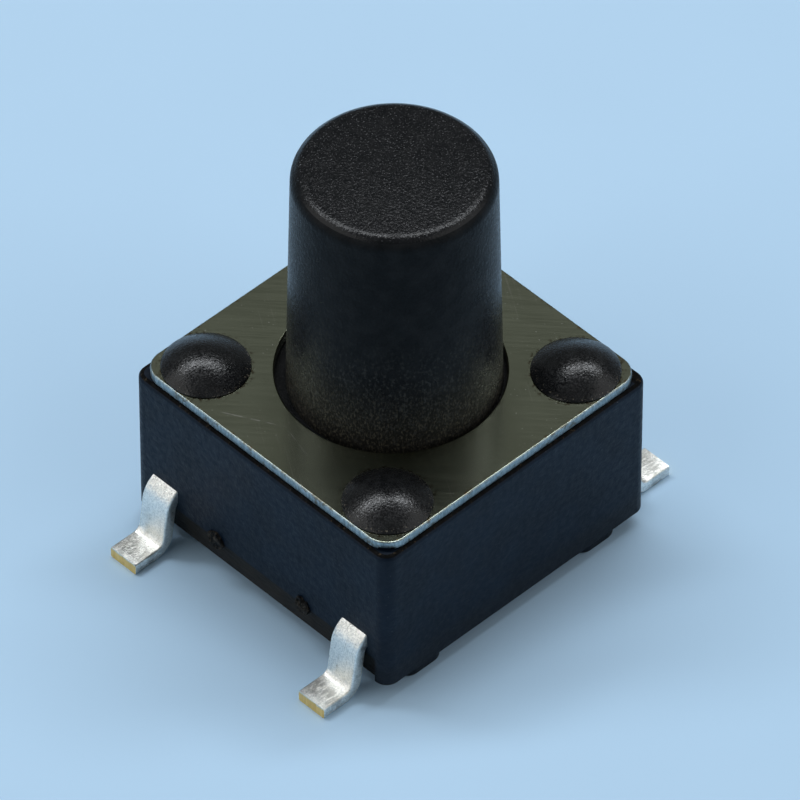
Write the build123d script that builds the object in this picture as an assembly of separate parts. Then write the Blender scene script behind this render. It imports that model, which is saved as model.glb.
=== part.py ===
"""Tactile push button switch for surface mounting, with a tall round button. All sizes are in millimetres.

The origin lies in the solder plane, under the middle of the base. +Z points up, and the leads leave along X.
"""
from build123d import *
import os
from math import sqrt

# Button, a loose fit in the cover's hole
button_diameter = 3.57          # where it passes the cover
button_taper = 0.097            # loss of radius from the cover to the top
button_height = 4.57            # above the cover
button_edge_radius = 0.25
button_clearance = 0.13         # all round, in the cover's hole
button_rest_share = 0.46        # share of that clearance by which the loose button rests towards +X -Y
flange_lap = 0.205              # of the flange under the cover, beyond the hole's edge
flange_thickness = 0.60
flange_clearance = 0.18         # all round, in the base's cavity
flange_end_play = 0.03          # between the flange and the cover
pusher_diameter = 1.60
pusher_edge_radius = 0.15
pusher_gap = 0.02               # between the pusher and the dome at rest

# Base
base_wall = 0.70                # thinnest wall round the cavity
base_underside = 0.30           # above the solder plane
base_height = 3.02              # from the underside to the rim under the cover
base_corner_radius = 0.25
base_edge_radius = 0.09
band_height = 0.54              # recessed band along the foot of both lead sides
band_depth = 0.10
band_corner_width = 0.27        # full wall left beside the band at each corner
vestige_diameter = 0.32         # broken moulding sprues at the band's upper edge
vestige_spacing = 2.06
vestige_stand = 0.06            # beyond the lead side
foot_length = 0.90
foot_width = 0.50
foot_inset = 0.10               # from the plain side
foot_setback = 0.55             # from the lead side
foot_clearance = 0.03           # above the solder plane
arm_hole_diameter = 0.40        # in the underside, left by the pins that held the arms in the mould

# Rivets, the base's posts staked over the cover
post_diameter = 1.00
post_inset = 0.86               # from the base's sides to the post's axis
post_clearance = 0.02           # in the cover's rivet hole
head_diameter = 1.50
head_height = 0.30
head_edge_height = 0.05

# Cover
cover_thickness = 0.17
cover_inset = 0.085             # from the base's sides
cover_corner_radius = 0.42
cover_edge_radius = 0.03

# Terminal strips with their leads
strip_thickness = 0.22
strip_level = 1.11              # underside of the strips in the base, above the solder plane
lead_width = 0.60
lead_inset = 0.75               # from the base's plain sides to the lead's middle
lead_reach = 0.975              # from the base's lead sides to the toe
lead_knee = 0.10                # from the base's lead sides to the upper corner of the lead's middle line
lead_lean = 0.16                # by which the lower corner lies further out
knee_radius = 0.29              # inside the upper bend
heel_radius = 0.14              # inside the lower bend
tongue_width = 1.00
contact_diameter = 0.80
contact_height = 0.09
contact_edge_height = 0.03
arm_width = 0.60
arm_margin = 0.10               # of the arm beyond the dome's rim
arm_overrun = 0.50              # of the arm past the dome's middle

# Snap dome
travel = 0.25
dome_thickness = 0.08
dome_clearance = 0.15           # all round, in the base's cavity
dome_strip_gap = 0.25           # from the dome's flats to the strips

# Sizes that follow
hole_diameter = button_diameter + 2 * button_clearance
flange_diameter = hole_diameter + 2 * flange_lap
cavity_diameter = flange_diameter + 2 * flange_clearance
base_width = cavity_diameter + 2 * base_wall
base_top = base_underside + base_height
cover_top = base_top + cover_thickness
cover_width = base_width - 2 * cover_inset
button_top = cover_top + button_height
flange_top = base_top - flange_end_play
flange_bottom = flange_top - flange_thickness
button_shift = button_rest_share * button_clearance / sqrt(2)
strip_middle = strip_level + strip_thickness / 2
cavity_floor = strip_level + strip_thickness
arm_hole_depth = strip_level - base_underside
contact_hole_depth = arm_hole_depth + contact_height
band_top = base_underside + band_height
post_place = base_width / 2 - post_inset
lead_place = base_width / 2 - lead_inset
knee_place = base_width / 2 + lead_knee
heel_place = knee_place + lead_lean
lead_toe = base_width / 2 + lead_reach
dome_diameter = cavity_diameter - 2 * dome_clearance
dome_rise = contact_height + travel + dome_thickness
dome_flats = 2 * (lead_place - lead_width / 2 - dome_strip_gap)
arm_place = dome_diameter / 2 + arm_margin - arm_width / 2
pusher_tip = cavity_floor + dome_rise + pusher_gap


def round_cap(diameter, height, edge_height):
    """A low round dome that stands on the XY plane, with a short upright edge."""
    radius = diameter / 2
    crown = TangentArc((0, height), (radius, edge_height), tangent=(1, 0))
    outline = Polyline((radius, edge_height), (radius, 0), (0, 0), (0, height))
    return revolve(Plane.XZ * make_face([crown, outline]), axis=Axis.Z)


def plunger():
    """The button with its flange under the cover and its pusher over the dome."""
    taper_slope = button_taper / button_height
    root_radius = button_diameter / 2 + taper_slope * (cover_top - flange_top)
    top_radius = button_diameter / 2 - button_taper
    section = Polyline(
        (0, pusher_tip),
        (pusher_diameter / 2, pusher_tip),
        (pusher_diameter / 2, flange_bottom),
        (flange_diameter / 2, flange_bottom),
        (flange_diameter / 2, flange_top),
        (root_radius, flange_top),
        (top_radius, button_top),
        (0, button_top),
        close=True,
    )
    body = revolve(Plane.XZ * make_face(section), axis=Axis.Z)
    body = fillet(body.edges().group_by(Axis.Z)[-1], button_edge_radius)
    body = fillet(body.edges().group_by(Axis.Z)[0], pusher_edge_radius)
    return Pos(button_shift, -button_shift, 0) * body


def cover_plate():
    """The stamped plate, with its die-rolled upper edge, the button's hole and the rivet holes."""
    plate = extrude(RectangleRounded(cover_width, cover_width, cover_corner_radius), amount=cover_thickness)
    plate = fillet(plate.edges().group_by(Axis.Z)[-1], cover_edge_radius)
    plate -= extrude(Circle(hole_diameter / 2), amount=cover_thickness)
    rivet_hole = extrude(Circle(post_diameter / 2 + post_clearance), amount=cover_thickness)
    plate -= GridLocations(2 * post_place, 2 * post_place, 2, 2) * rivet_hole
    return Pos(0, 0, base_top) * plate


def strip(side):
    """A strip across the base that ends in a bent lead with a flat foot at both lead sides."""
    foot_level = strip_thickness / 2
    heel_bend = heel_radius + strip_thickness / 2
    knee_bend = knee_radius + strip_thickness / 2
    path = FilletPolyline(
        (-lead_toe, foot_level),
        (-heel_place, foot_level),
        (-knee_place, strip_middle),
        (knee_place, strip_middle),
        (heel_place, foot_level),
        (lead_toe, foot_level),
        radius=[heel_bend, knee_bend, knee_bend, heel_bend],
    )
    profile = Plane.XZ * trace(path, line_width=strip_thickness)
    return Pos(0, side * lead_place, 0) * extrude(profile, amount=lead_width / 2, both=True)


def finger(width, start, end):
    """A flat finger at the strips' level, along Y from start to its round end."""
    shape = Pos(0, (start + end) / 2) * Rectangle(width, abs(end - start)) + Pos(0, end) * Circle(width / 2)
    return Pos(0, 0, strip_level) * extrude(shape, amount=strip_thickness)


def center_terminal():
    """The strip on the -Y side, whose tongue has an embossed contact under the dome's middle."""
    boss = round_cap(contact_diameter, contact_height, contact_edge_height)
    terminal = strip(-1) + finger(tongue_width, -lead_place, 0)
    return terminal + Pos(0, 0, cavity_floor) * boss - Pos(0, 0, strip_level) * boss


def outer_terminal():
    """The strip on the +Y side, whose two arms lie under the dome's rim."""
    arm = finger(arm_width, lead_place, -arm_overrun)
    return strip(1) + Pos(arm_place, 0, 0) * arm + Pos(-arm_place, 0, 0) * arm


def snap_dome():
    """The sprung disc, a shallow spherical shell with two flats beside the strips."""
    rim_radius = dome_diameter / 2
    outer_radius = (rim_radius ** 2 + dome_rise ** 2) / (2 * dome_rise)
    inner_radius = outer_radius - dome_thickness
    inner_rim = sqrt(inner_radius ** 2 - (outer_radius - dome_rise) ** 2)
    inner_rise = dome_rise - dome_thickness
    top = TangentArc((0, dome_rise), (rim_radius, 0), tangent=(1, 0))
    underside = TangentArc((0, inner_rise), (inner_rim, 0), tangent=(1, 0))
    ends = [Line((rim_radius, 0), (inner_rim, 0)), Line((0, inner_rise), (0, dome_rise))]
    disc = revolve(Plane.XZ * make_face([top, underside] + ends), axis=Axis.Z)
    return Pos(0, 0, cavity_floor) * (disc & Box(dome_diameter, dome_flats, 2 * dome_rise))


def four_of(shape, spacing_x, spacing_y, level):
    """Copies of a shape at the corners of a rectangle round the Z axis, at a level."""
    return GridLocations(spacing_x, spacing_y, 2, 2) * (Pos(0, 0, level) * shape)


def base_block():
    """The square block with its round cavity and the pin holes under the contact and the arms."""
    block = extrude(RectangleRounded(base_width, base_width, base_corner_radius), amount=base_height)
    block = Pos(0, 0, base_underside) * fillet(block.edges().group_by(Axis.Z)[-1], base_edge_radius)
    block -= Pos(0, 0, cavity_floor) * extrude(Circle(cavity_diameter / 2), amount=base_height)
    block -= Pos(0, 0, base_underside) * extrude(Circle(contact_diameter / 2), amount=contact_hole_depth)
    arm_hole = Pos(0, 0, base_underside) * extrude(Circle(arm_hole_diameter / 2), amount=arm_hole_depth)
    return block - [Pos(side * arm_place, 0, 0) * arm_hole for side in (-1, 1)]


def vestiges():
    """The broken sprues at the upper edge of both bands."""
    length = 2 * (band_depth + vestige_stand)
    vestige = Rot(0, 90, 0) * Cylinder(vestige_diameter / 2, length)
    return four_of(vestige, base_width - 2 * band_depth, vestige_spacing, band_top)


def feet():
    """The standoff feet under the base."""
    foot = extrude(SlotOverall(foot_length, foot_width), amount=base_underside - foot_clearance)
    spacing_x = base_width - 2 * foot_setback - foot_length
    spacing_y = base_width - 2 * foot_inset - foot_width
    return four_of(foot, spacing_x, spacing_y, foot_clearance)


def rivets():
    """The posts through the cover, with their staked heads."""
    head = round_cap(head_diameter, head_height, head_edge_height)
    rivet = extrude(Circle(post_diameter / 2), amount=cover_thickness) + Pos(0, 0, cover_thickness) * head
    return four_of(rivet, 2 * post_place, 2 * post_place, base_top)


def base(terminals):
    """The moulding round the strips."""
    band = Box(2 * band_depth, base_width - 2 * band_corner_width, 2 * band_height)
    bands = [Pos(side * base_width / 2, 0, base_underside) * band for side in (-1, 1)]
    return base_block() - bands + vestiges() + feet() + rivets() - terminals


inner_strip = center_terminal()
outer_strip = outer_terminal()
pieces = {
    "base": base([inner_strip, outer_strip]),
    "cover_plate": cover_plate(),
    "plunger": plunger(),
    "snap_dome": snap_dome(),
    "center_terminal": inner_strip,
    "outer_terminal": outer_strip,
}

os.makedirs("parts", exist_ok=True)
for name, piece in pieces.items():
    export_step(piece, f"parts/{name}.step")
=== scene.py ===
import math

import bmesh
import bpy
from mathutils import Matrix, Vector, noise


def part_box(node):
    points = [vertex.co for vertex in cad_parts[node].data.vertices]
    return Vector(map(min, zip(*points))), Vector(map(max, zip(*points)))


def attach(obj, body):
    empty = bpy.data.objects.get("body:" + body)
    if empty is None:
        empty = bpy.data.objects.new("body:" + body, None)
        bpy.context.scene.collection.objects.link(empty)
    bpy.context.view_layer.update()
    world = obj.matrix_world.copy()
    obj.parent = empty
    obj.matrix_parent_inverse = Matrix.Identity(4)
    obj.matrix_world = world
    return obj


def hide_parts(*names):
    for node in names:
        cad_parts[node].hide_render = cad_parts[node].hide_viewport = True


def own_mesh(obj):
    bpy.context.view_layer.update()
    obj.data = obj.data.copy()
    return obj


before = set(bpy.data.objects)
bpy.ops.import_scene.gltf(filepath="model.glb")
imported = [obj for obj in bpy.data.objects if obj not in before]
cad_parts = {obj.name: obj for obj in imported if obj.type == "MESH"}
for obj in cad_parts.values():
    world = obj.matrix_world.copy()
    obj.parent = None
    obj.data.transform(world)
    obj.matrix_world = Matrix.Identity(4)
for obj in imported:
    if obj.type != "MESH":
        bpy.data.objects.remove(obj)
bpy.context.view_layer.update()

MM = 0.001
overlap = 0.05                  # by which solids that are joined reach into each other
overrun = 0.1                   # by which cutting solids reach past what they cut
near = 0.005                    # distance below which two places count as one


def node_box(node):
    """Lowest and highest corner of a CAD node, in millimetres."""
    low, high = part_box(node)
    return low / MM, high / MM


base_low, base_high = node_box("base")
cover_low, cover_high = node_box("cover_plate")
button_low, button_high = node_box("plunger")
dome_low, dome_high = node_box("snap_dome")
strip_high = node_box("outer_terminal")[1]

# Base
base_half = base_high.y
base_underside = 0.30
base_corner_radius = 0.25
base_edge_radius = 0.09
base_foot_radius = 0.03
seam_depth = 0.022
seam_margin = 0.1               # from the cavity to where the seam's painted shadow and grime start
cavity_radius = 2.30
cavity_floor = strip_high.z
band_height = 0.54
band_top = base_underside + band_height
band_depth = 0.10
band_corner_radius = 0.05
band_corner_width = 0.27
vestige_place = 1.03
vestige_radius = 0.16
vestige_stand = 0.06
tear_depth = 0.045              # of the sprues' breaks
tear_scales = ((9, 1.0), (24, 0.6))     # periods per millimetre, and shares of the depth
largest_tear_face = 0.01        # in square millimetres
foot_bottom = base_low.z
foot_length = 0.90
foot_width = 0.50
foot_inset = 0.10
foot_setback = 0.55
foot_edge_radius = 0.03
arm_hole_radius = 0.20

# Rivets
post_inset = 0.86
post_place = base_half - post_inset
post_radius = 0.50
head_radius = 0.75
head_rim_radius = 0.015
head_lean = 0.06
head_crown_radius = 0.95
head_crown_angle = 18           # from the axis to the crown's edge, in degrees
head_rim_angle = 54             # above the horizontal, where the rim passes into the flank
head_flank_steps = 12
head_height = base_high.z - cover_high.z

# Cover
cover_half = cover_high.x
cover_corner_radius = 0.42
cover_roll_radius = 0.03
cover_burr_radius = 0.015
cover_flat_slope = 0.97         # upward part of the normal above which a face counts as flat
cover_edge_zone = 0.2           # from the rim, where faces that aren't flat are the cut edge
hole_radius = 1.915
hole_roll_radius = 0.03
rivet_hole_radius = 0.52
notch_half_width = 0.135
notch_depth = 0.06
notch_height = 0.05
notch_corner_radius = 0.02

# Button
button_centre = (button_low + button_high) / 2
button_root_radius = 1.789
button_top_radius = 1.688
button_edge_radius = 0.25
button_top_slope = 0.75         # upward part of the normal above which a face belongs to the top
flange_radius = (button_high.x - button_low.x) / 2
flange_end_play = 0.03
flange_thickness = 0.60
flange_top = cover_low.z - flange_end_play
flange_bottom = flange_top - flange_thickness
flange_edge_radius = 0.05
pusher_radius = 0.80
pusher_edge_radius = 0.15

# Terminals
strip_thickness = 0.22
strip_top = cavity_floor
strip_middle = strip_top - strip_thickness / 2
lead_toe = strip_high.x
lead_knee = 0.10                # from the base's side to the upper corner of the lead's middle line
lead_lean = 0.16                # by which the lower corner lies further out
knee_radius = 0.29
heel_radius = 0.14
knee_place = base_half + lead_knee
heel_place = knee_place + lead_lean
knee_bend = knee_radius + strip_thickness / 2
heel_bend = heel_radius + strip_thickness / 2
lead_inset = 0.75
lead_place = base_half - lead_inset
lead_half_width = 0.30
lead_edge_radius = 0.03
tongue_half_width = 0.50
arm_half_width = 0.30
arm_margin = 0.10               # of the arm beyond the dome's rim
arm_place = dome_high.x + arm_margin - arm_half_width
arm_end = -0.50
contact_radius = 0.40
contact_height = 0.09
contact_edge_height = 0.03

# Snap dome
dome_radius = dome_high.x
dome_rise = dome_high.z - dome_low.z
dome_flat = dome_high.y
dome_thickness = 0.08


# Mesh helpers


def arc(centre, radius, start, end, steps):
    """Points of an arc in a plane, with the angles in degrees."""
    points = []
    for step in range(steps + 1):
        angle = math.radians(start + (end - start) * step / steps)
        points.append((centre[0] + radius * math.cos(angle), centre[1] + radius * math.sin(angle)))
    return points


def filleted(corners, radii, steps=12):
    """Points of a line in a plane whose inner corners are rounded to their radii."""
    points = [Vector(corners[0])]
    for before, corner, after, radius in zip(corners, corners[1:], corners[2:], radii):
        corner = Vector(corner)
        back = (Vector(before) - corner).normalized()
        ahead = (Vector(after) - corner).normalized()
        half_angle = back.angle(ahead) / 2
        middle = corner + (back + ahead).normalized() * radius / math.sin(half_angle)
        first = (corner + back * radius / math.tan(half_angle) - middle).normalized()
        last = (corner + ahead * radius / math.tan(half_angle) - middle).normalized()
        points += [middle + first.slerp(last, step / steps) * radius for step in range(steps + 1)]
    return points + [Vector(corners[-1])]


def rounded_rectangle(half_x, half_y, radius, corner_steps=12):
    """Points of a rounded rectangle round the origin, counterclockwise."""
    points = []
    for sign_x, sign_y, start in ((1, 1, 0), (-1, 1, 90), (-1, -1, 180), (1, -1, 270)):
        centre = (sign_x * (half_x - radius), sign_y * (half_y - radius))
        points += arc(centre, radius, start, start + 90, corner_steps)
    return points


def skin(mesh, loops):
    """Skins closed loops of points into a tube, with a face over each end."""
    rings = [[mesh.verts.new(point) for point in loop] for loop in loops]
    for lower, upper in zip(rings, rings[1:]):
        for index in range(len(lower)):
            following = (index + 1) % len(lower)
            mesh.faces.new((lower[index], lower[following], upper[following], upper[index]))
    mesh.faces.new(list(reversed(rings[0])))
    mesh.faces.new(rings[-1])


def prism(outline_at, levels):
    """A solid whose outline at each level comes from a function of the inset at that level."""
    mesh = bmesh.new()
    skin(mesh, [[Vector((x, y, level)) for x, y in outline_at(inset)] for level, inset in levels])
    return mesh


def slab(outline, low, high):
    """A flat solid with one outline between two levels."""
    return prism(lambda inset: outline, ((low, 0), (high, 0)))


def turned(profile, segments):
    """A solid of revolution round Z.

    The profile has points of radius and level, from the axis at the bottom to the axis at the top.
    """
    mesh = bmesh.new()
    rings = []
    for radius, level in profile:
        if radius == 0:
            rings.append([mesh.verts.new((0, 0, level))])
            continue
        ring = []
        for index in range(segments):
            angle = 2 * math.pi * index / segments
            ring.append(mesh.verts.new((radius * math.cos(angle), radius * math.sin(angle), level)))
        rings.append(ring)
    for lower, upper in zip(rings, rings[1:]):
        for index in range(segments):
            following = (index + 1) % segments
            corners = [lower[index % len(lower)], lower[following % len(lower)]]
            corners += [upper[following % len(upper)], upper[index % len(upper)]]
            mesh.faces.new(list(dict.fromkeys(corners)))
    return mesh


def cylinder(radius, low, high, segments):
    return turned([(0, low), (radius, low), (radius, high), (0, high)], segments)


def lower_corner(reach, level, radius, steps):
    """Points of a rounded outer corner at the bottom of a turned profile's step."""
    return arc((reach - radius, level + radius), radius, -90, 0, steps)


def upper_corner(reach, level, radius, steps):
    """Points of a rounded outer corner at the top of a turned profile's step."""
    return arc((reach - radius, level - radius), radius, 0, 90, steps)


def moved(mesh, x=0, y=0, z=0):
    bmesh.ops.translate(mesh, vec=(x, y, z), verts=mesh.verts)
    return mesh


def solid(mesh, name="tool"):
    """An object made of a mesh."""
    bmesh.ops.recalc_face_normals(mesh, faces=mesh.faces)
    data = bpy.data.meshes.new(name)
    mesh.to_mesh(data)
    mesh.free()
    obj = bpy.data.objects.new(name, data)
    bpy.context.scene.collection.objects.link(obj)
    return obj


def settle(obj):
    """Applies an object's modifiers to its mesh."""
    graph = bpy.context.evaluated_depsgraph_get()
    result = bpy.data.meshes.new_from_object(obj.evaluated_get(graph), depsgraph=graph)
    old = obj.data
    obj.modifiers.clear()
    obj.data = result
    bpy.data.meshes.remove(old)


def combine(target, tools, operation):
    """Joins solids to a target, or cuts them from it, and removes them."""
    for tool in tools:
        modifier = target.modifiers.new("combine", "BOOLEAN")
        modifier.operation = operation
        modifier.solver = "MANIFOLD"
        modifier.object = tool
        settle(target)
        bpy.data.objects.remove(tool)
    return target


def copy_of(obj):
    twin = obj.copy()
    twin.data = obj.data.copy()
    bpy.context.scene.collection.objects.link(twin)
    return twin


def four_places(x, y):
    return [(sign_x * x, sign_y * y) for sign_x in (-1, 1) for sign_y in (-1, 1)]


def finished(obj, name, materials, body, node, sharp_angle=32):
    """Scales a solid to metres, shades it and hands it to the frame in place of its CAD node."""
    obj.name = name
    obj.data.name = name
    obj.data.transform(Matrix.Scale(MM, 4))
    choices = [face.material_index for face in obj.data.polygons]
    obj.data.materials.clear()
    for material in materials:
        obj.data.materials.append(material)
    obj.data.polygons.foreach_set("material_index", choices)
    obj.data.shade_smooth()
    obj.data.set_sharp_from_angle(angle=math.radians(sharp_angle))
    weighted = obj.modifiers.new("weighted", "WEIGHTED_NORMAL")
    weighted.keep_sharp = True
    weighted.weight = 100
    settle(obj)
    obj.data.name = name
    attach(obj, body)
    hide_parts(node)
    return obj


# Material helpers


class Finish:
    """A procedural material whose patterns are placed in millimetres of the object's own space."""

    def __init__(self, name):
        self.material = bpy.data.materials.new(name)
        self.material.use_nodes = True
        self.nodes = self.material.node_tree.nodes
        self.links = self.material.node_tree.links
        self.shader = self.nodes["Principled BSDF"]
        self.place = self.nodes.new("ShaderNodeTexCoord").outputs["Object"]
        self.millimetres = self.stretched(1, 1, 1)

    def stretched(self, along_x, along_y, along_z, turn=0.0):
        """The place in periods per millimetre along each axis, after a turn round Z in degrees."""
        turned_place = self.nodes.new("ShaderNodeMapping")
        turned_place.inputs["Rotation"].default_value = (0, 0, math.radians(turn))
        self.links.new(self.place, turned_place.inputs["Vector"])
        scaled = self.nodes.new("ShaderNodeMapping")
        scaled.inputs["Scale"].default_value = (along_x / MM, along_y / MM, along_z / MM)
        self.links.new(turned_place.outputs["Vector"], scaled.inputs["Vector"])
        return scaled.outputs["Vector"]

    def noise(self, scale=1.0, detail=3.0, roughness=0.55, place=None):
        node = self.nodes.new("ShaderNodeTexNoise")
        node.inputs["Scale"].default_value = scale
        node.inputs["Detail"].default_value = detail
        node.inputs["Roughness"].default_value = roughness
        self.links.new(place or self.millimetres, node.inputs["Vector"])
        return node.outputs["Fac"]

    def axis(self, name):
        node = self.nodes.new("ShaderNodeSeparateXYZ")
        self.links.new(self.millimetres, node.inputs["Vector"])
        return node.outputs[name]

    def from_axis(self, x, y, mirrored=False):
        """The distance from an upright line, or from the nearest of its four mirror images."""
        flat = self.nodes.new("ShaderNodeVectorMath")
        flat.operation = "MULTIPLY"
        self.links.new(self.millimetres, flat.inputs[0])
        flat.inputs[1].default_value = (1, 1, 0)
        place = flat.outputs["Vector"]
        if mirrored:
            quarter = self.nodes.new("ShaderNodeVectorMath")
            quarter.operation = "ABSOLUTE"
            self.links.new(place, quarter.inputs[0])
            place = quarter.outputs["Vector"]
        distance = self.nodes.new("ShaderNodeVectorMath")
        distance.operation = "DISTANCE"
        self.links.new(place, distance.inputs[0])
        distance.inputs[1].default_value = (x, y, 0)
        return distance.outputs["Value"]

    def from_middle(self):
        """The distance from the middle of the square, the larger of those along X and Y."""
        along_x = self.math("ABSOLUTE", self.axis("X"), 0)
        along_y = self.math("ABSOLUTE", self.axis("Y"), 0)
        return self.math("MAXIMUM", along_x, along_y)

    def between(self, value, low, high, start=0.0, end=1.0):
        """Start below low, end above high, and a smooth change from one to the other."""
        node = self.nodes.new("ShaderNodeMapRange")
        node.interpolation_type = "SMOOTHSTEP"
        self.links.new(value, node.inputs["Value"])
        node.inputs["From Min"].default_value = low
        node.inputs["From Max"].default_value = high
        node.inputs["To Min"].default_value = start
        node.inputs["To Max"].default_value = end
        return node.outputs["Result"]

    def math(self, operation, first, second):
        node = self.nodes.new("ShaderNodeMath")
        node.operation = operation
        for value, socket in zip((first, second), node.inputs):
            if isinstance(value, (int, float)):
                socket.default_value = value
            else:
                self.links.new(value, socket)
        return node.outputs["Value"]

    def mix(self, share, first, second):
        """A colour between two, each a socket or three numbers."""
        node = self.nodes.new("ShaderNodeMix")
        node.data_type = "RGBA"
        self.links.new(share, node.inputs["Factor"])
        for value, socket in ((first, node.inputs[6]), (second, node.inputs[7])):
            if isinstance(value, tuple):
                socket.default_value = (*value, 1)
            else:
                self.links.new(value, socket)
        return node.outputs[2]

    def bump(self, height, depth, below=None):
        """A bump whose full height is a depth in millimetres, over another one."""
        node = self.nodes.new("ShaderNodeBump")
        node.inputs["Strength"].default_value = 1.0
        node.inputs["Distance"].default_value = depth * MM
        self.links.new(height, node.inputs["Height"])
        if below is not None:
            self.links.new(below, node.inputs["Normal"])
        return node.outputs["Normal"]

    def set(self, **sockets):
        """Sets the shader's sockets, by names with underscores, to values or links."""
        for name, value in sockets.items():
            socket = self.shader.inputs[name.replace("_", " ")]
            if isinstance(value, (int, float, tuple)):
                socket.default_value = value
            else:
                self.links.new(value, socket)
        return self.material


def base_plastic():
    """Blue-black moulding with a fine spark texture and a browner foot."""
    finish = Finish("base_plastic")
    cloud = finish.between(finish.noise(1.4, 4), 0.35, 0.65)
    colour = finish.mix(cloud, (0.0008, 0.0050, 0.0128), (0.0018, 0.0078, 0.0185))
    foot = finish.between(finish.axis("Z"), band_top + 0.1, band_top - 0.3, 0.0, 0.4)
    colour = finish.mix(foot, colour, (0.0090, 0.0085, 0.0080))
    specks = finish.between(finish.noise(24, 1), 0.755, 0.79, 0.0, 0.8)
    colour = finish.mix(specks, colour, (0.070, 0.075, 0.078))
    grain = finish.bump(finish.noise(26, 2), 0.0045)
    wave = finish.bump(finish.noise(4, 2), 0.012, below=grain)
    rough = finish.between(finish.noise(10), 0.3, 0.7, 0.40, 0.56)
    return finish.set(Base_Color=colour, Roughness=rough, Normal=wave, Specular_IOR_Level=0.15)


def band_plastic():
    """The recessed band along the foot of the lead sides, dull brown-grey, with a painted shadow line
    along its top under the step.
    """
    finish = Finish("band_plastic")
    flow = finish.noise(1.0, 4, 0.6, finish.stretched(6, 3, 9))
    streaks = finish.between(flow, 0.35, 0.65)
    colour = finish.mix(streaks, (0.0125, 0.0118, 0.0110), (0.0250, 0.0230, 0.0205))
    # Painted shadow: a near-black strip along the top of the band, under the overhanging step.
    shade = finish.between(finish.axis("Z"), band_top - 0.13, band_top - 0.09)
    colour = finish.mix(shade, colour, (0.0008, 0.0008, 0.0008))
    rough = finish.between(flow, 0.3, 0.7, 0.50, 0.66)
    ridges = finish.bump(flow, 0.02)
    return finish.set(Base_Color=colour, Roughness=rough, Normal=ridges, Specular_IOR_Level=0.10)


def seam_shadow_and_grime():
    """The shoulder under the cover's edge, near black as a painted shadow under the cover, with real
    brown grit.
    """
    finish = Finish("seam_shadow_and_grime")
    cloud = finish.between(finish.noise(3, 4), 0.4, 0.65)
    # Painted shadow: near-black colour in the gap under the cover's edge; the brown grit mixed in below
    # is dirt.
    colour = finish.mix(cloud, (0.0012, 0.0012, 0.0013), (0.0050, 0.0046, 0.0042))
    grit = finish.between(finish.noise(17, 3), 0.60, 0.70, 0.0, 0.8)
    colour = finish.mix(grit, colour, (0.050, 0.036, 0.022))
    crumbs = finish.bump(finish.noise(20, 3), 0.02)
    rough = finish.between(finish.noise(10), 0.3, 0.7, 0.60, 0.80)
    return finish.set(Base_Color=colour, Roughness=rough, Normal=crumbs, Specular_IOR_Level=0.08)


def staked_plastic():
    """The heads, melted over the cover: glossier than the walls, pebbled, with painted glint flecks."""
    finish = Finish("staked_plastic")
    cloud = finish.between(finish.noise(6, 4), 0.35, 0.68)
    colour = finish.mix(cloud, (0.0045, 0.0050, 0.0058), (0.0105, 0.0112, 0.0122))
    # Painted glints: faint light flecks over the heads, standing in for sparkle off the pebbled
    # surface.
    painted_glint_flecks = finish.between(finish.noise(20, 2), 0.66, 0.74, 0.0, 0.6)
    colour = finish.mix(painted_glint_flecks, colour, (0.040, 0.042, 0.046))
    rim = finish.between(finish.axis("Z"), cover_high.z + 0.10, cover_high.z + 0.03)
    flash = finish.math("MULTIPLY", rim, finish.between(finish.noise(30, 1), 0.64, 0.72, 0.0, 0.8))
    colour = finish.mix(flash, colour, (0.16, 0.14, 0.11))
    pebbles = finish.bump(finish.noise(27, 1, 0.5), 0.0048)
    rough = finish.between(finish.noise(31, 1, 0.5), 0.40, 0.62, 0.34, 0.14)
    return finish.set(Base_Color=colour, Roughness=rough, Normal=pebbles, Specular_IOR_Level=0.36)


def broken_plastic():
    """The rough brown-black break of the sprues."""
    finish = Finish("broken_plastic")
    tear = finish.noise(14, 4, 0.65)
    crumbs = finish.between(tear, 0.45, 0.68)
    colour = finish.mix(crumbs, (0.0020, 0.0018, 0.0016), (0.0520, 0.0430, 0.0320))
    torn = finish.bump(tear, 0.05)
    return finish.set(Base_Color=colour, Roughness=0.62, Normal=torn, Specular_IOR_Level=0.15)


def button_plastic():
    """The button's top and its edge, black with a coarse grain on the flat, sprinkled with painted
    glints.
    """
    finish = Finish("button_plastic")
    cloud = finish.between(finish.noise(3.2, 5), 0.35, 0.68)
    colour = finish.mix(cloud, (0.0034, 0.0040, 0.0050), (0.0066, 0.0072, 0.0084))
    flat_radius = button_top_radius - button_edge_radius
    reach = finish.from_axis(button_centre.x, button_centre.y)
    top = finish.between(reach, flat_radius + 0.18, flat_radius + 0.10)
    mottle = finish.between(finish.noise(9, 3, 0.6), 0.42, 0.66)
    colour = finish.mix(finish.math("MULTIPLY", top, mottle), colour, (0.0090, 0.0095, 0.0105))
    # Painted glints: bright flecks over the flat top, standing in for sparkle off the grain.
    painted_glints = finish.math("MULTIPLY", top, finish.between(finish.noise(34, 2), 0.61, 0.72, 0.0, 0.9))
    colour = finish.mix(painted_glints, colour, (0.128, 0.130, 0.136))
    moulded = finish.bump(finish.noise(26, 1), 0.004)
    grain = finish.bump(finish.math("MULTIPLY", finish.noise(22, 2, 0.6), top), 0.008, below=moulded)
    rough = finish.between(finish.noise(14), 0.3, 0.7, 0.19, 0.27)
    return finish.set(Base_Color=colour, Roughness=rough, Normal=grain, Specular_IOR_Level=0.25)


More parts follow.
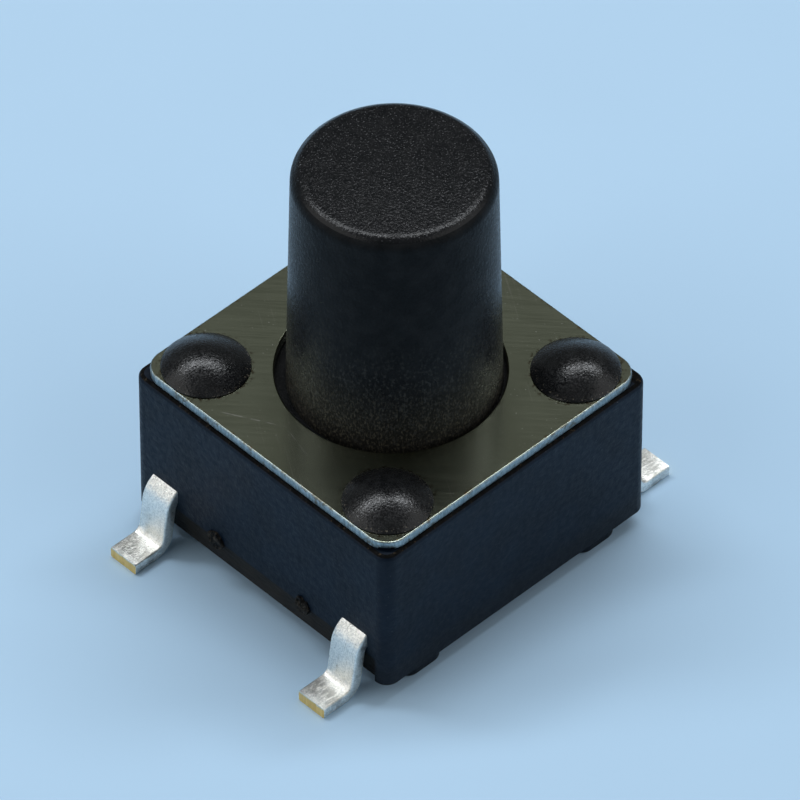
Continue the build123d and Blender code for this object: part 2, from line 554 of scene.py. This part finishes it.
def button_side_plastic():
    """The button's side, dull black with a drawn grain, painted glints on a wrinkle pattern over the
    lower half, and lighter, warmer colour and dust hairs towards the cover.
    """
    finish = Finish("button_side_plastic")
    cloud = finish.between(finish.noise(3.2, 5), 0.35, 0.68)
    colour = finish.mix(cloud, (0.0080, 0.0088, 0.0096), (0.0130, 0.0138, 0.0146))
    # Lighter and warmer towards the cover.
    low = finish.between(finish.axis("Z"), cover_high.z + 1.5, cover_high.z + 0.3)
    colour = finish.mix(finish.math("MULTIPLY", low, 0.5), colour, (0.024, 0.0225, 0.0185))
    lower_half = finish.between(finish.axis("Z"), cover_high.z + 2.7, cover_high.z + 1.0)
    creases = finish.noise(1.0, 3, 0.65, finish.stretched(20, 20, 13))
    # Painted glints: light flecks on a crease pattern over the lower half, standing in for sparkle off
    # the wrinkled grain.
    painted_crease_glints = finish.between(creases, 0.50, 0.68, 0.0, 0.9)
    colour = finish.mix(finish.math("MULTIPLY", lower_half, painted_crease_glints), colour, (0.046, 0.046, 0.043))
    hairs = finish.noise(1.0, 2, 0.6, finish.stretched(34, 34, 16))
    dust = finish.math("MULTIPLY", low, finish.between(hairs, 0.50, 0.68))
    colour = finish.mix(dust, colour, (0.075, 0.068, 0.053))
    drawn = finish.bump(finish.noise(1.0, 3, 0.6, finish.stretched(18, 18, 11)), 0.012)
    rough = finish.between(finish.noise(14), 0.3, 0.7, 0.24, 0.34)
    return finish.set(Base_Color=colour, Roughness=rough, Normal=drawn, Specular_IOR_Level=0.043)


def long_scratch(finish, turn, across, start, end):
    """A mask of one straight, broken scratch, in axes turned round Z by some degrees."""
    node = finish.nodes.new("ShaderNodeSeparateXYZ")
    finish.links.new(finish.stretched(1, 1, 1, turn), node.inputs["Vector"])
    offset = finish.math("ABSOLUTE", finish.math("SUBTRACT", node.outputs["Y"], across), 0)
    line = finish.between(offset, 0.016, 0.004)
    along = finish.math("MULTIPLY", finish.between(node.outputs["X"], start, start + 0.2),
                        finish.between(node.outputs["X"], end, end - 0.4))
    breaks = finish.between(finish.noise(9, 2), 0.35, 0.6)
    return finish.math("MULTIPLY", finish.math("MULTIPLY", line, along), breaks)


def cover_steel():
    """Satin rolled steel, olive grey, with scratches, specks, a rusty rim and dirt round the rivets."""
    finish = Finish("cover_steel")
    cloud = finish.between(finish.noise(1.1, 5), 0.3, 0.7)
    colour = finish.mix(cloud, (0.345, 0.370, 0.272), (0.386, 0.414, 0.307))
    rolled = finish.noise(1.0, 3, 0.6, finish.stretched(1.2, 34, 1.0, 48))
    colour = finish.mix(finish.between(rolled, 0.38, 0.72, 0.0, 0.3), colour, (0.285, 0.294, 0.216))
    worn = finish.between(finish.noise(0.7, 3), 0.45, 0.62, 0.0, 0.5)
    fine = finish.between(finish.noise(1.0, 1, 0.5, finish.stretched(0.6, 30, 1.0, -58)), 0.66, 0.74)
    colour = finish.mix(finish.math("MULTIPLY", fine, worn), colour, (0.62, 0.62, 0.54))
    rear_scratch = long_scratch(finish, turn=61.6, across=-1.79, start=-2.42, end=-1.14)
    colour = finish.mix(rear_scratch, colour, (0.72, 0.72, 0.66))
    front_scratch = long_scratch(finish, turn=105, across=-2.15, start=0.42, end=1.2)
    colour = finish.mix(front_scratch, colour, (0.80, 0.80, 0.74))
    specks = finish.between(finish.noise(22, 1), 0.75, 0.78)
    colour = finish.mix(specks, colour, (0.90, 0.90, 0.84))
    rim = finish.between(finish.from_middle(), cover_half - 0.09, cover_half - 0.03)
    rust = finish.math("MULTIPLY", rim, finish.between(finish.noise(11, 3, 0.6), 0.56, 0.64, 0.0, 0.8))
    colour = finish.mix(rust, colour, (0.20, 0.115, 0.040))
    from_rivet = finish.from_axis(post_place, post_place, mirrored=True)
    ring = finish.between(from_rivet, head_radius + 0.12, head_radius + 0.02)
    dirt = finish.math("MULTIPLY", ring, finish.between(finish.noise(14, 3, 0.6), 0.52, 0.62, 0.0, 0.8))
    colour = finish.mix(dirt, colour, (0.085, 0.055, 0.028))
    sheet = finish.bump(rolled, 0.00025)
    grain = finish.bump(finish.noise(24, 2), 0.0004, below=sheet)
    rough = finish.between(rolled, 0.3, 0.7, 0.185, 0.225)
    return finish.set(Base_Color=colour, Metallic=1.0, Roughness=rough, Normal=grain)


def cover_cut_edge():
    """The bright sheared edge of the cover, with upright shear lines and a few stains."""
    finish = Finish("cover_cut_edge")
    sheared = finish.noise(1.0, 4, 0.65, finish.stretched(24, 24, 6))
    colour = finish.mix(finish.between(sheared, 0.3, 0.7), (0.18, 0.235, 0.25), (0.40, 0.48, 0.51))
    stains = finish.between(finish.noise(7, 4, 0.65), 0.52, 0.66, 0.0, 0.75)
    colour = finish.mix(stains, colour, (0.12, 0.095, 0.06))
    lines = finish.bump(sheared, 0.006)
    rough = finish.between(sheared, 0.3, 0.7, 0.34, 0.46)
    return finish.set(Base_Color=colour, Metallic=1.0, Roughness=rough, Normal=lines)


def lead_tin():
    """Satin tin plating with a crystalline grain, drag marks, pits, rubbed feet and crinkled knees."""
    finish = Finish("lead_tin")
    crystals = finish.noise(30, 3, 0.65)
    colour = finish.mix(finish.between(crystals, 0.35, 0.65), (0.72, 0.73, 0.70), (1.00, 0.99, 0.94))
    patches = finish.between(finish.noise(4, 4), 0.54, 0.72, 0.0, 0.35)
    colour = finish.mix(patches, colour, (0.46, 0.44, 0.37))
    pits = finish.between(finish.noise(34, 1), 0.30, 0.24, 0.0, 0.7)
    colour = finish.mix(pits, colour, (0.22, 0.19, 0.14))
    drag = finish.noise(1.0, 3, 0.6, finish.stretched(2.5, 26, 2.5))
    colour = finish.mix(finish.between(drag, 0.58, 0.70, 0.0, 0.5), colour, (0.50, 0.49, 0.44))
    reach = finish.math("ABSOLUTE", finish.axis("X"), 0)
    rubbed = finish.math("MULTIPLY", finish.between(reach, heel_place + 0.24, heel_place + 0.36),
                         finish.between(reach, lead_toe - 0.02, lead_toe - 0.16))
    scuffs = finish.noise(1.0, 4, 0.65, finish.stretched(4, 15, 4))
    streaks = finish.between(scuffs, 0.36, 0.60, 0.0, 0.62)
    colour = finish.mix(finish.math("MULTIPLY", rubbed, streaks), colour, (0.24, 0.235, 0.215))
    drawn = finish.bump(drag, 0.005)
    knee = finish.between(finish.axis("Z"), strip_middle - 0.25, strip_middle - 0.10)
    crinkles = finish.math("MULTIPLY", finish.noise(17, 3, 0.6), knee)
    grain = finish.bump(crystals, 0.009, below=finish.bump(crinkles, 0.020, below=drawn))
    rough = finish.between(finish.noise(12), 0.3, 0.7, 0.28, 0.44)
    return finish.set(Base_Color=colour, Metallic=1.0, Roughness=rough, Normal=grain)


def lead_cut_end():
    """The bare brass of a sheared toe, with tin drawn over its upper edge."""
    finish = Finish("lead_cut_end")
    sheared = finish.noise(1.0, 3, place=finish.stretched(1, 18, 3))
    colour = finish.mix(finish.between(sheared, 0.3, 0.7), (0.90, 0.55, 0.17), (1.00, 0.70, 0.28))
    smear = finish.math("ADD", finish.axis("Z"), finish.math("MULTIPLY", sheared, 0.08))
    tinned = finish.between(smear, strip_thickness - 0.01, strip_thickness + 0.03)
    colour = finish.mix(tinned, colour, (0.86, 0.84, 0.76))
    lines = finish.bump(sheared, 0.012)
    rough = finish.between(sheared, 0.3, 0.7, 0.34, 0.46)
    return finish.set(Base_Color=colour, Metallic=1.0, Roughness=rough, Normal=lines)


def dome_steel():
    """Bright rolled spring steel with fine rolling lines."""
    finish = Finish("dome_steel")
    rolled = finish.noise(1.0, 2, place=finish.stretched(0.6, 40, 1.0, 20))
    colour = finish.mix(finish.between(rolled, 0.3, 0.7), (0.54, 0.52, 0.48), (0.66, 0.64, 0.60))
    lines = finish.bump(rolled, 0.003)
    rough = finish.between(finish.noise(5), 0.3, 0.7, 0.20, 0.32)
    return finish.set(Base_Color=colour, Metallic=1.0, Roughness=rough, Normal=lines)


# Terminals


def lead_path():
    """The strip's middle line in X and Z, from one toe to the other."""
    foot_level = strip_thickness / 2
    half = [(-lead_toe, foot_level), (-heel_place, foot_level), (-knee_place, strip_middle)]
    radii = (heel_bend, knee_bend, knee_bend, heel_bend)
    return filleted(half + [(-x, z) for x, z in reversed(half)], radii)


def strip(side):
    """A strip with rounded edges, swept along its middle line."""
    path = lead_path()
    section = rounded_rectangle(lead_half_width, strip_thickness / 2, lead_edge_radius, 4)
    loops = []
    for index, (x, z) in enumerate(path):
        along = (path[min(index + 1, len(path) - 1)] - path[max(index - 1, 0)]).normalized()
        loops.append([
            Vector((x - along.y * height, side * lead_place + width, z + along.x * height))
            for width, height in section
        ])
    mesh = bmesh.new()
    skin(mesh, loops)
    return solid(mesh)


def finger(half_width, x, start, end):
    """A flat finger along Y at the strips' level, with a round end."""
    towards = 1 if end > start else -1
    ends = arc((x, end), half_width, 0, towards * 180, 24)
    outline = ends + [(x - half_width, start), (x + half_width, start)]
    return solid(slab(outline, strip_top - strip_thickness, strip_top))


def contact(level):
    """The embossed contact's crown over a level, with a foot that reaches below it."""
    rise = contact_height - contact_edge_height
    sphere = (contact_radius ** 2 + rise ** 2) / (2 * rise)
    half_angle = math.degrees(math.asin(contact_radius / sphere))
    crown = arc((0, contact_height - sphere), sphere, 90 - half_angle, 90, 10)
    profile = [(0, -overlap), (contact_radius, -overlap)] + crown[:-1] + [(0, contact_height)]
    return solid(moved(turned(profile, 64), z=level))


def brass_ends(obj):
    """Gives the sheared ends of the leads the second material."""
    for face in obj.data.polygons:
        at_toe = abs(abs(face.center.x) - lead_toe) < near
        face.material_index = int(at_toe and abs(face.normal.x) > 0.99)


def terminals():
    tongue = finger(tongue_half_width, 0, -lead_place, 0)
    middle = combine(strip(-1), [tongue, contact(strip_top)], "UNION")
    combine(middle, [contact(strip_top - strip_thickness)], "DIFFERENCE")
    arms = [finger(arm_half_width, side * arm_place, lead_place, arm_end) for side in (-1, 1)]
    outer = combine(strip(1), arms, "UNION")
    for obj in (middle, outer):
        brass_ends(obj)
    return middle, outer


# Base


def head(lean_x, lean_y):
    """A post with its staked head, a round cap with a thin rim and a crown that may lean."""
    rim_centre = (head_radius - head_rim_radius, head_rim_radius)
    rim = arc(rim_centre, head_rim_radius, -90, head_rim_angle, 6)
    crown_centre = (0, head_height - head_crown_radius)
    crown = arc(crown_centre, head_crown_radius, 90 - head_crown_angle, 90, 10)
    (outer, low), (inner, high) = rim[-1], crown[0]
    span = outer - inner
    slope = math.tan(math.radians(head_crown_angle))
    sag = (high - low - slope * span) / span ** 2
    flank = []
    for step in range(head_flank_steps - 1, 0, -1):
        out = span * step / head_flank_steps
        flank.append((inner + out, high - slope * out - sag * out ** 2))
    post_depth = cover_high.z - cover_low.z + overlap
    post = [(0, -post_depth), (post_radius, -post_depth), (post_radius, 0)]
    mesh = turned(post + rim + flank + crown[:-1] + [(0, head_height)], 96)
    for vert in mesh.verts:
        share = max(vert.co.z, 0) / head_height
        vert.co.x += lean_x * share
        vert.co.y += lean_y * share
    return mesh


def vestige(seed):
    """A broken moulding sprue, a rough stub along X. Each seed gives another break."""
    noise.seed_set(seed)
    root = -band_depth - 0.08
    profile = [(0, root), (vestige_radius * 0.9, root), (vestige_radius * 0.9, -band_depth * 0.6)]
    profile += [(vestige_radius * 1.1, -band_depth * 0.2), (vestige_radius * 1.05, vestige_stand * 0.4)]
    for share, height in ((0.90, 0.9), (0.65, 0.7), (0.30, 1.0), (0, 0.8)):
        profile.append((vestige_radius * share, vestige_stand * height))
    mesh = turned(profile, 32)
    for vert in mesh.verts:
        if vert.co.z > root + near:
            shakes = [noise.noise_vector(vert.co * scale) * share for scale, share in tear_scales]
            vert.co += sum(shakes, Vector()) * tear_depth
            vert.co.z = min(vert.co.z, vestige_stand)
    bmesh.ops.rotate(mesh, matrix=Matrix.Rotation(math.radians(90), 3, "Y"), verts=mesh.verts)
    return mesh


def base_block():
    """The square block with rounded corners, a rounded upper edge and a slightly eased lower edge."""
    top = cover_low.z

    def outline(inset):
        return rounded_rectangle(base_half - inset, base_half - inset, base_corner_radius - inset)

    levels = []
    for inset, rise in arc((0, 0), base_foot_radius, -90, 0, 4):
        levels.append((base_underside + base_foot_radius + rise, base_foot_radius - inset))
    for inset, rise in arc((0, 0), base_edge_radius, 0, 90, 8):
        levels.append((top - base_edge_radius + rise, base_edge_radius - inset))
    return solid(prism(outline, levels))


def band(side):
    """The block that leaves the recessed band along the foot of a lead side."""
    low = base_underside - overrun
    half_y = base_half - band_corner_width
    half_z = (band_top - low) / 2
    outline = rounded_rectangle(half_y, half_z, band_corner_radius, 5)
    mesh = bmesh.new()
    loops = []
    for reach in (base_half - band_depth, base_half + overrun):
        loops.append([Vector((side * reach, y, low + half_z + z)) for y, z in outline])
    skin(mesh, loops)
    return solid(mesh)


def foot(x, y):
    """A standoff foot with round ends and an eased lower edge."""
    half_x, half_y = foot_length / 2, foot_width / 2

    def outline(inset):
        return rounded_rectangle(half_x - inset, half_y - inset, half_y - inset, 12)

    ease = foot_edge_radius
    levels = [(foot_bottom, ease), (foot_bottom + ease / 3, ease / 3), (foot_bottom + ease, 0)]
    levels.append((base_underside + overlap, 0))
    return solid(moved(prism(outline, levels), x, y))


WALL, HEAD, BREAK, SEAM, BAND = range(5)        # places of the materials in base_finishes


def base_finish_of(face):
    """The place of a face's material in base_finishes."""
    x, y, z = face.center
    if z > cover_low.z + near:
        return HEAD
    beyond_band = abs(x) - (base_half - band_depth)
    by_stub = abs(abs(y) - vestige_place) < 1.5 * vestige_radius and beyond_band > near
    if by_stub and face.area < largest_tear_face:
        return BREAK
    if z > cover_low.z - seam_depth and face.center.xy.length > cavity_radius + seam_margin:
        return SEAM
    in_band = base_underside < z < band_top and abs(beyond_band) < near
    return BAND if in_band else WALL


def base(strips):
    """The moulding round the strips, with its cavity, pin holes, bands, feet, heads and sprues."""
    block = base_block()
    cavity = solid(cylinder(cavity_radius, cavity_floor, cover_low.z + overrun, 192))
    pin_low = base_underside - overrun
    pin_top = strip_top - strip_thickness
    pins = [solid(cylinder(contact_radius, pin_low, pin_top + contact_height, 64))]
    for side in (-1, 1):
        pin = cylinder(arm_hole_radius, pin_low, pin_top, 48)
        pins.append(solid(moved(pin, side * arm_place)))
    combine(block, [cavity] + pins + [band(-1), band(1)], "DIFFERENCE")
    foot_x = base_half - foot_setback - foot_length / 2
    foot_y = base_half - foot_inset - foot_width / 2
    additions = [foot(x, y) for x, y in four_places(foot_x, foot_y)]
    for x, y in four_places(post_place, post_place):
        lean = head_lean if x * y < 0 else 0.0
        cap = head(math.copysign(lean, x), math.copysign(lean, y))
        additions.append(solid(moved(cap, x, y, cover_high.z)))
    for seed, (x, y) in enumerate(four_places(base_half, vestige_place), start=1):
        stub = vestige(seed)
        if x < 0:
            bmesh.ops.rotate(stub, matrix=Matrix.Rotation(math.pi, 3, "Z"), verts=stub.verts)
        additions.append(solid(moved(stub, x, y, band_top)))
    combine(block, additions, "UNION")
    combine(block, [copy_of(piece) for piece in strips], "DIFFERENCE")
    for face in block.data.polygons:
        face.material_index = base_finish_of(face)
    return block


# Cover, button and dome


def corner_notch():
    """The block that nicks the lower edge of the cover's front corner."""
    corner = (cover_half - cover_corner_radius) * math.sqrt(2) + cover_corner_radius
    outline = rounded_rectangle(notch_depth, notch_half_width, notch_corner_radius, 3)
    mesh = moved(slab(outline, cover_low.z - overrun, cover_low.z + notch_height), -corner)
    bmesh.ops.rotate(mesh, matrix=Matrix.Rotation(math.radians(45), 3, "Z"), verts=mesh.verts)
    return solid(mesh)


def cover():
    """The stamped plate, with a die-rolled upper edge, a small burr below and a rolled hole edge."""

    def outline(inset):
        half = cover_half - inset
        return rounded_rectangle(half, half, cover_corner_radius - inset, 16)

    levels = [(cover_low.z, cover_burr_radius), (cover_low.z + cover_burr_radius, 0.0)]
    for inset, rise in arc((0, 0), cover_roll_radius, 0, 90, 6):
        levels.append((cover_high.z - cover_roll_radius + rise, cover_roll_radius - inset))
    plate = solid(prism(outline, levels))
    low, high = cover_low.z - overrun, cover_high.z + overrun
    roll_reach = hole_radius + hole_roll_radius
    roll = arc((roll_reach, cover_high.z - hole_roll_radius), hole_roll_radius, 180, 90, 6)
    profile = [(0, low), (hole_radius, low)] + roll + [(roll_reach, high), (0, high)]
    cutters = [solid(turned(profile, 192))]
    for x, y in four_places(post_place, post_place):
        cutters.append(solid(moved(cylinder(rivet_hole_radius, low, high, 64), x, y)))
    combine(plate, cutters + [corner_notch()], "DIFFERENCE")
    for face in plate.data.polygons:
        at_rim = max(abs(face.center.x), abs(face.center.y)) > cover_half - cover_edge_zone
        face.material_index = int(at_rim and abs(face.normal.z) < cover_flat_slope)
    return plate


def button():
    """The plunger: pusher, flange and the tapered button with its rounded top edge."""
    taper = (button_root_radius - button_top_radius) / (button_high.z - flange_top)
    edge_radius = button_top_radius + taper * button_edge_radius
    tip = lower_corner(pusher_radius, button_low.z, pusher_edge_radius, 6)
    lower = lower_corner(flange_radius, flange_bottom, flange_edge_radius, 4)
    upper = upper_corner(flange_radius, flange_top, flange_edge_radius, 4)
    edge = upper_corner(edge_radius, button_high.z, button_edge_radius, 10)
    profile = [(0, button_low.z)] + tip + [(pusher_radius, flange_bottom)] + lower + upper
    profile += [(button_root_radius, flange_top)] + edge + [(0, button_high.z)]
    knob = solid(moved(turned(profile, 192), button_centre.x, button_centre.y))
    for face in knob.data.polygons:
        face.material_index = int(face.normal.z < button_top_slope)
    return knob


def dome():
    """The sprung disc, a thin spherical shell with two flats."""
    outer = (dome_radius ** 2 + dome_rise ** 2) / (2 * dome_rise)
    inner = outer - dome_thickness
    depth = outer - dome_rise
    outer_half = math.degrees(math.asin(dome_radius / outer))
    inner_half = math.degrees(math.acos(depth / inner))
    under = arc((0, -depth), inner, 90, 90 - inner_half, 16)
    over = arc((0, -depth), outer, 90 - outer_half, 90, 16)
    profile = [(0, inner - depth)] + under[1:] + over[:-1] + [(0, dome_rise)]
    shell = solid(moved(turned(profile, 160), z=dome_low.z))
    half_x = dome_radius + overrun
    box = [(half_x, dome_flat), (-half_x, dome_flat), (-half_x, -dome_flat), (half_x, -dome_flat)]
    between_flats = solid(slab(box, dome_low.z - overrun, dome_high.z + overrun))
    return combine(shell, [between_flats], "INTERSECT")


# Object

base_finishes = [base_plastic(), staked_plastic(), broken_plastic(), seam_shadow_and_grime(), band_plastic()]
tin_finishes = [lead_tin(), lead_cut_end()]
cover_finishes = [cover_steel(), cover_cut_edge()]
button_finishes = [button_plastic(), button_side_plastic()]

middle_strip, outer_strip = terminals()
moulding = base((middle_strip, outer_strip))
finished(moulding, "base_moulding", base_finishes, "housing", "base")
finished(middle_strip, "center_lead_strip", tin_finishes, "housing", "center_terminal")
finished(outer_strip, "outer_lead_strip", tin_finishes, "housing", "outer_terminal")
finished(cover(), "riveted_cover", cover_finishes, "housing", "cover_plate")
finished(button(), "push_button", button_finishes, "button", "plunger")
disc = finished(dome(), "dome_disc", [dome_steel()], "housing", "snap_dome")
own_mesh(disc)


# Floor, light and camera

floor_half = 3.0                # in metres
lamp_distance = 0.30            # in metres
floor_colour = (0.48, 0.69, 0.90)
horizon_height = 0.04
horizon_colour = (0.30, 0.36, 0.42)
overhead_colour = (0.20, 0.20, 0.20)
sky_steps = (
    (0.15, (0.160, 0.175, 0.185)),
    (0.30, (0.130, 0.140, 0.140)),
    (0.50, (0.110, 0.115, 0.110)),
    (0.75, (0.100, 0.104, 0.098)),
)
camera_azimuth = -43.985
camera_elevation = 45.774
camera_distance = 199.106
camera_target = Vector((-0.0643, -0.2816, 3.0))
camera_lens = 546.33


def direction(azimuth, elevation):
    """Unit vector from the object towards a place on the sky. Azimuth 0 is in front, on the -Y side."""
    turn, tilt = math.radians(azimuth), math.radians(elevation)
    return Vector((math.sin(turn) * math.cos(tilt), -math.cos(turn) * math.cos(tilt), math.sin(tilt)))


def look(obj, place, target):
    obj.location = place
    obj.rotation_euler = (target - place).to_track_quat("-Z", "Y").to_euler()


def softbox(name, azimuth, elevation, width, height, power, colour):
    """A rectangular lamp that faces the object, with its sizes in metres."""
    light = bpy.data.lights.new(name, "AREA")
    light.shape = "RECTANGLE"
    light.size = width
    light.size_y = height
    light.energy = power
    light.color = colour
    lamp = bpy.data.objects.new(name, light)
    bpy.context.scene.collection.objects.link(lamp)
    look(lamp, direction(azimuth, elevation) * lamp_distance, Vector((0, 0, 0)))


def floor():
    mesh = bmesh.new()
    corners = ((-1, -1), (1, -1), (1, 1), (-1, 1))
    mesh.faces.new([mesh.verts.new((x * floor_half, y * floor_half, 0)) for x, y in corners])
    plane = solid(mesh, "floor")
    finish = Finish("floor")
    tone = finish.between(finish.noise(0.15, 2), 0.3, 0.7)
    darker = tuple(value * 0.98 for value in floor_colour)
    colour = finish.mix(tone, darker, floor_colour)
    plane.data.materials.append(finish.set(Base_Color=colour, Roughness=0.9))


def sky():
    """A plain studio round: pale at the horizon, darker above and brighter again overhead."""
    world = bpy.data.worlds.new("studio")
    bpy.context.scene.world = world
    world.use_nodes = True
    nodes, links = world.node_tree.nodes, world.node_tree.links
    height = nodes.new("ShaderNodeSeparateXYZ")
    links.new(nodes.new("ShaderNodeTexCoord").outputs["Generated"], height.inputs["Vector"])
    ramp = nodes.new("ShaderNodeValToRGB")
    links.new(height.outputs["Z"], ramp.inputs["Fac"])
    stops = ramp.color_ramp.elements
    stops[0].position = horizon_height
    stops[0].color = (*horizon_colour, 1)
    stops[1].position = 1.0
    stops[1].color = (*overhead_colour, 1)
    for place, colour in sky_steps:
        stops.new(place).color = (*colour, 1)
    links.new(ramp.outputs["Color"], nodes["Background"].inputs["Color"])


def camera():
    lens = bpy.data.cameras.new("camera")
    lens.lens = camera_lens
    lens.sensor_width = 36
    lens.clip_start = 0.01
    lens.clip_end = 20
    eye = bpy.data.objects.new("camera", lens)
    bpy.context.scene.collection.objects.link(eye)
    place = camera_target + direction(camera_azimuth, camera_elevation) * camera_distance
    look(eye, place * MM, camera_target * MM)
    bpy.context.scene.camera = eye


floor()
sky()
softbox("back_softbox", camera_azimuth + 186, elevation=70, width=0.42, height=0.050, power=0.70,
        colour=(0.94, 0.98, 1.02))
softbox("left_softbox", camera_azimuth - 76, elevation=32, width=0.32, height=0.32, power=0.31,
        colour=(1.0, 0.99, 0.97))
softbox("right_softbox", camera_azimuth + 76, elevation=32, width=0.32, height=0.32, power=0.26,
        colour=(1.0, 0.99, 0.98))
camera()
bpy.context.scene.view_settings.view_transform = "Standard"
